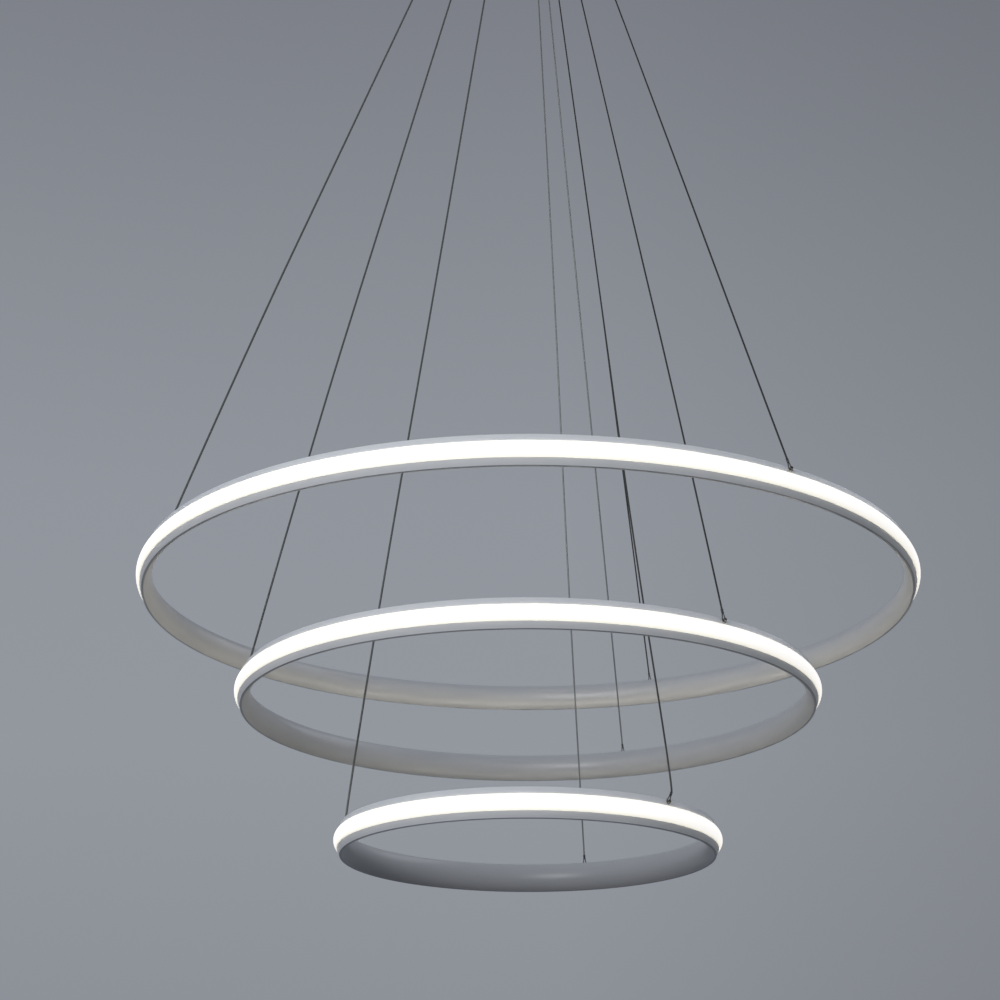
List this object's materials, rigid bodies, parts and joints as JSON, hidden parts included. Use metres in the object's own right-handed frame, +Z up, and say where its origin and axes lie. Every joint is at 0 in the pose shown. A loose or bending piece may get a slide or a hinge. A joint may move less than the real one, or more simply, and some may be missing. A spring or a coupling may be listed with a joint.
{
  "type": "led ring chandelier",
  "caption": "Ceiling light with stepped rings that glow outwards, hung one below the other from a round canopy on thin wires and clear feed cables.",
  "frame": {"origin": "centre of the canopy's rim, on the ceiling", "axes": "+Z up to the ceiling, -Y towards the viewer, +X to the right"},
  "size_m": [0.7687, 0.7688, 1.2501],
  "materials": {
    "white_aluminium": "satin white powder coat over rolled aluminium profile",
    "white_metal": "satin white powder coat over sheet steel",
    "opal_diffuser": "opal, lit from behind, warm white",
    "dark_steel": "dark plated steel",
    "nickel": "bright nickel plate",
    "zinc_steel": "zinc plated",
    "steel_rope": "stranded steel wire",
    "clear_jacket": "clear jacket over tinned strands",
    "white_plastic": "moulded white plastic"
  },
  "bodies": {
    "canopy": {"canopy_dish": "white_metal", "ceiling_bracket": "zinc_steel", "bracket_studs": "zinc_steel", "canopy_cap_nuts": "nickel", "cable_grips": "nickel", "large_ring_driver": "white_plastic", "lower_rings_driver": "white_plastic", "terminal_block": "white_plastic"},
    "large_ring": {"large_ring_profile": "white_aluminium", "large_diffuser": "opal_diffuser", "large_wire_feet": "dark_steel", "large_wire_loops": "steel_rope", "large_wire_sleeves": "nickel", "large_feed_gland": "white_plastic", "large_feed_cable": "clear_jacket", "large_right_wire": "steel_rope", "large_far_wire": "steel_rope"},
    "medium_ring": {"medium_ring_profile": "white_aluminium", "medium_diffuser": "opal_diffuser", "medium_wire_feet": "dark_steel", "medium_wire_loops": "steel_rope", "medium_wire_sleeves": "nickel", "medium_feed_gland": "white_plastic", "medium_feed_cable": "clear_jacket", "medium_right_wire": "steel_rope", "medium_far_wire": "steel_rope"},
    "small_ring": {"small_ring_profile": "white_aluminium", "small_diffuser": "opal_diffuser", "small_wire_feet": "dark_steel", "small_wire_loops": "steel_rope", "small_wire_sleeves": "nickel", "small_feed_gland": "white_plastic", "small_feed_cable": "clear_jacket", "small_right_wire": "steel_rope", "small_far_wire": "steel_rope"}
  },
  "joints": [
    {"name": "large_ring_height", "type": "slide", "parent": "canopy", "child": "large_ring", "axis": [0, 0, 1], "range_m": [-0.15, 0.15], "deforming": ["large_feed_cable", "large_right_wire", "large_far_wire"]},
    {"name": "medium_ring_height", "type": "slide", "parent": "canopy", "child": "medium_ring", "axis": [0, 0, 1], "range_m": [-0.15, 0.15], "deforming": ["medium_feed_cable", "medium_right_wire", "medium_far_wire"]},
    {"name": "small_ring_height", "type": "slide", "parent": "canopy", "child": "small_ring", "axis": [0, 0, 1], "range_m": [-0.15, 0.15], "deforming": ["small_feed_cable", "small_right_wire", "small_far_wire"]}
  ]
}
